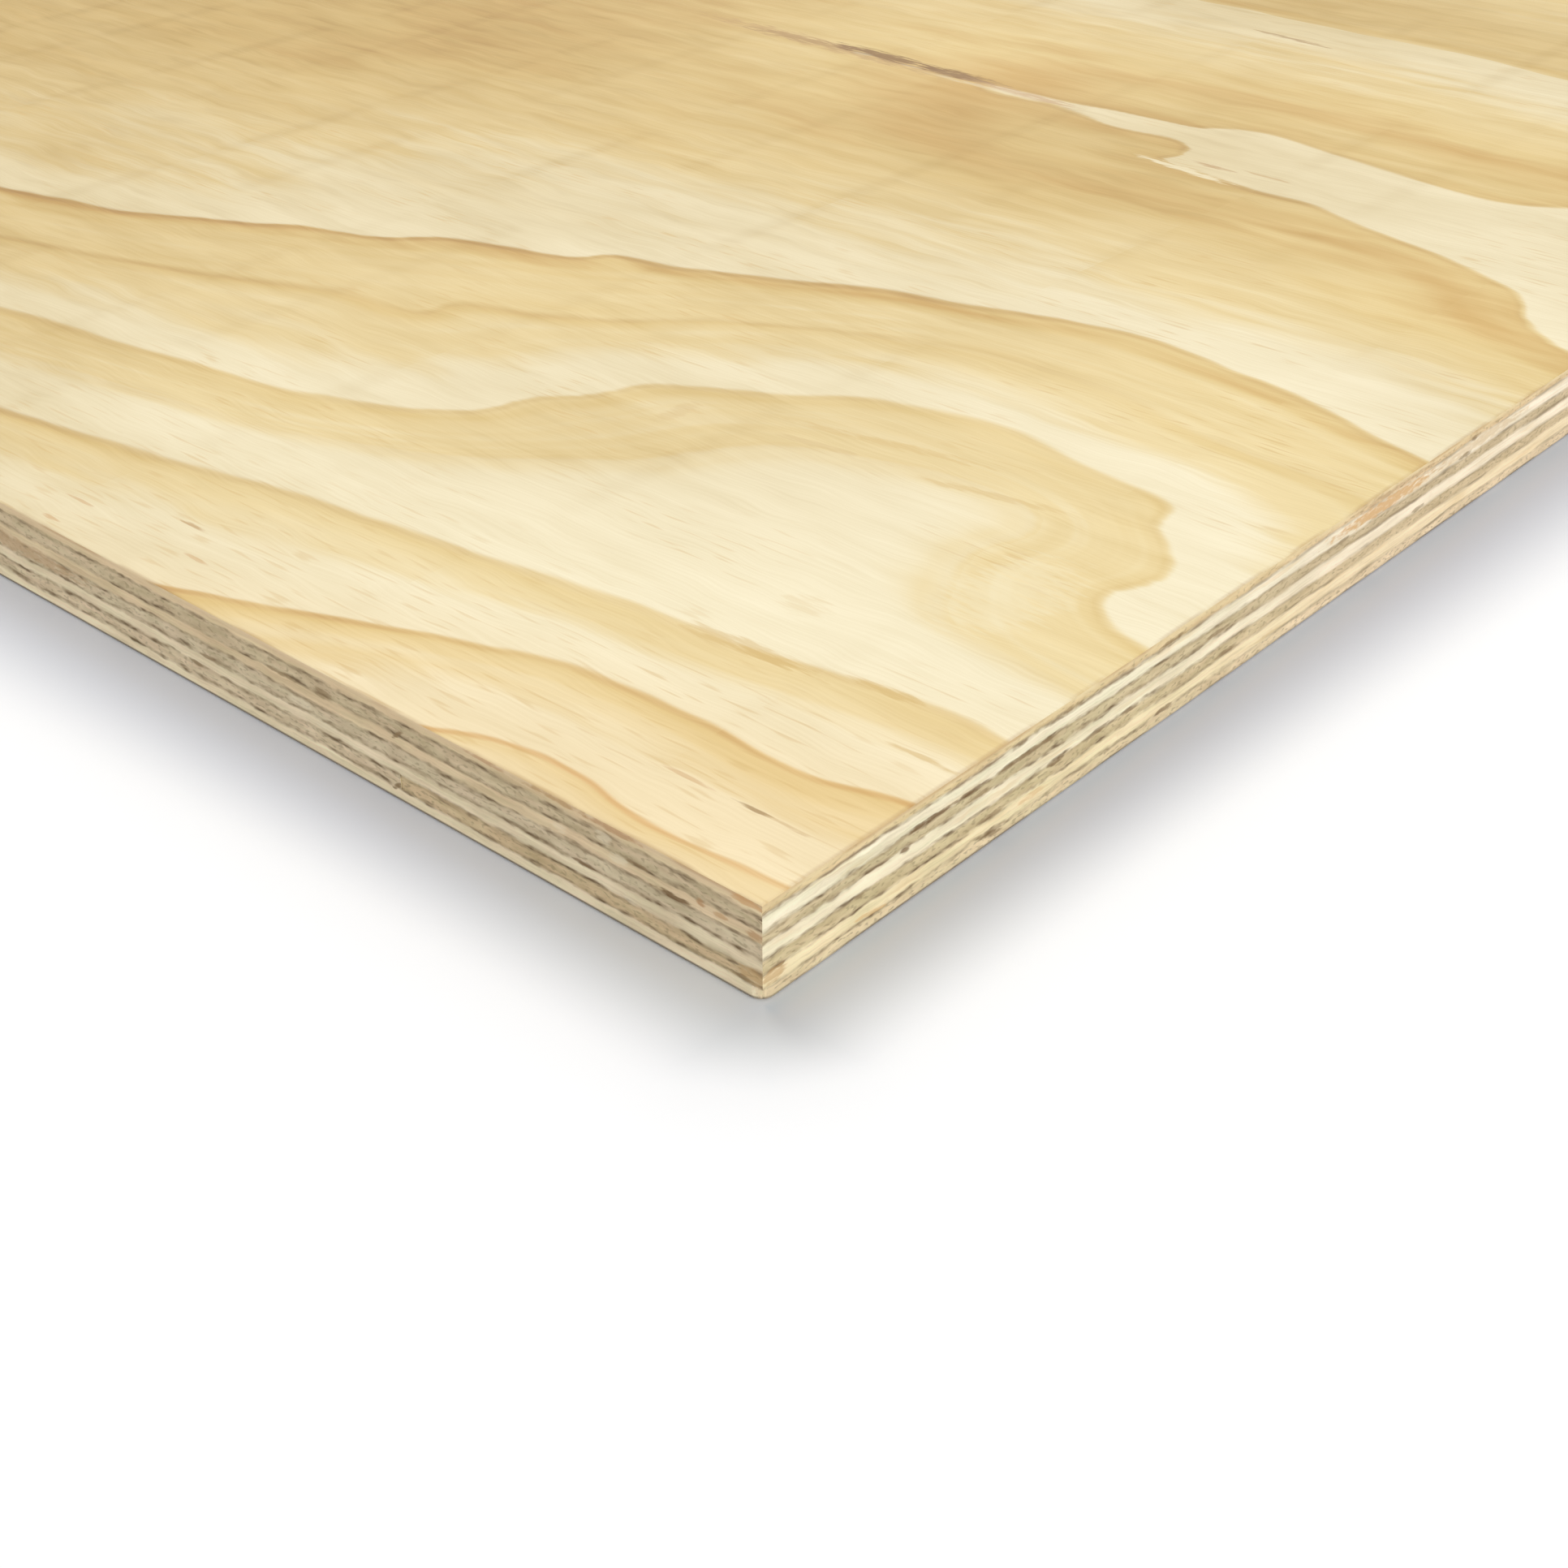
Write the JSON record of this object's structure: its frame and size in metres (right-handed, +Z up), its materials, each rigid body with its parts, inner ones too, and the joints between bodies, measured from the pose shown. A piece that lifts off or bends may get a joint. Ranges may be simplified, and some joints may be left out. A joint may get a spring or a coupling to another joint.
{
  "type": "plywood sheet",
  "caption": "Flat rectangular softwood plywood sheet of seven cross-laid veneers with a sanded pine face and square sawn edges, for floors, walls, formwork and joinery.",
  "frame": {"origin": "centre of the sheet's underside, on the surface that it lies on", "axes": "+X along the sheet's length, which is the direction of the face grain; +Y across its width; +Z up out of the face veneer"},
  "size_m": [2.44, 1.22, 0.018],
  "materials": {
    "face_veneer": "sanded rotary-cut pine veneer, broad growth rings, matt",
    "back_veneer": "rotary-cut pine veneer, lightly sanded, matt",
    "crossband_veneer": "sawn pine veneer edge, dark glue lines, rough",
    "core_veneer": "sawn pine veneer edge, dark glue lines, rough"
  },
  "bodies": {
    "root": {"face_veneer": "face_veneer", "upper_crossband": "crossband_veneer", "upper_core": "core_veneer", "centre_crossband": "crossband_veneer", "lower_core": "core_veneer", "lower_crossband_1": "crossband_veneer", "lower_crossband_2": "crossband_veneer", "back_veneer": "back_veneer"}
  },
  "joints": []
}
